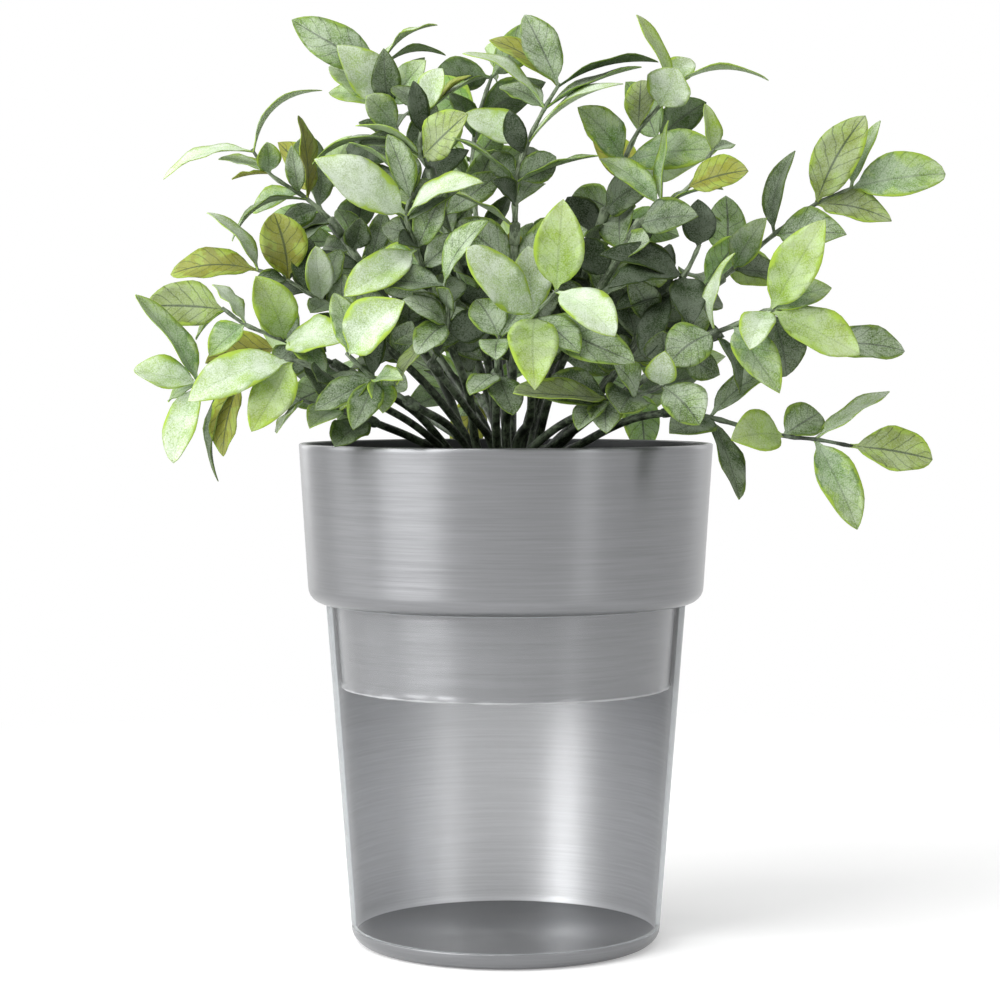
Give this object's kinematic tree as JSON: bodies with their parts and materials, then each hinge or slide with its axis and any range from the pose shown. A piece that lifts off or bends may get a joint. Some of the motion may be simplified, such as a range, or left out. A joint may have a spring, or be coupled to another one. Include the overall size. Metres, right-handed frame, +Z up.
{
  "type": "flower pot diversion safe",
  "caption": "Round two-piece printed flowerpot with an artificial bush; the planter part lifts out of the lower pot, which is a hidden compartment.",
  "frame": {"origin": "middle of the flat underside of the lower pot", "axes": "+Z up along the axis of the pot, -Y towards the front of the bush, +X to its right"},
  "size_m": [0.2346, 0.188, 0.2822],
  "materials": {
    "lower_pot_print": "silver-grey PLA, satin, with fine layer lines",
    "planter_print": "silver-grey PLA, satin, with fine layer lines",
    "foam": "dark green dry foam, open and crumbly",
    "stem_plastic": "dark grey-green moulded polyethylene with a frosted upper side",
    "leaf_plastic": "green moulded polyethylene leaves with a whitish frosting and yellow-green margins"
  },
  "bodies": {
    "pot": {"lower_pot": "lower_pot_print"},
    "planter": {"planter_insert": "planter_print", "foam_plug": "foam", "bush_pick": "stem_plastic", "stem_01": "stem_plastic", "stem_02": "stem_plastic", "stem_03": "stem_plastic", "stem_04": "stem_plastic", "stem_05": "stem_plastic", "stem_06": "stem_plastic", "stem_07": "stem_plastic", "stem_08": "stem_plastic", "stem_09": "stem_plastic", "stem_10": "stem_plastic", "stem_11": "stem_plastic", "stem_12": "stem_plastic", "stem_13": "stem_plastic", "stem_14": "stem_plastic", "stem_15": "stem_plastic", "stem_16": "stem_plastic", "stem_17": "stem_plastic", "stem_18": "stem_plastic", "stem_19": "stem_plastic", "stem_20": "stem_plastic", "stem_21": "stem_plastic", "stem_22": "stem_plastic", "stem_23": "stem_plastic", "stem_24": "stem_plastic", "stem_25": "stem_plastic", "stem_26": "stem_plastic", "stem_27": "stem_plastic", "stem_28": "stem_plastic", "sprig_01": "leaf_plastic", "sprig_02": "leaf_plastic", "sprig_03": "leaf_plastic", "sprig_04": "leaf_plastic", "sprig_05": "leaf_plastic", "sprig_06": "leaf_plastic", "sprig_07": "leaf_plastic", "sprig_08": "leaf_plastic", "sprig_09": "leaf_plastic", "sprig_10": "leaf_plastic", "sprig_11": "leaf_plastic", "sprig_12": "leaf_plastic", "sprig_13": "leaf_plastic", "sprig_14": "leaf_plastic", "sprig_15": "leaf_plastic", "sprig_16": "leaf_plastic", "sprig_17": "leaf_plastic", "sprig_18": "leaf_plastic", "sprig_19": "leaf_plastic", "sprig_20": "leaf_plastic", "sprig_21": "leaf_plastic", "sprig_22": "leaf_plastic", "sprig_23": "leaf_plastic", "sprig_24": "leaf_plastic", "sprig_25": "leaf_plastic", "sprig_26": "leaf_plastic", "sprig_27": "leaf_plastic", "sprig_28": "leaf_plastic"}
  },
  "joints": [
    {"name": "planter_lift", "type": "slide", "parent": "pot", "child": "planter", "axis": [0, 0, 1], "range_m": [0, 0.09]}
  ]
}
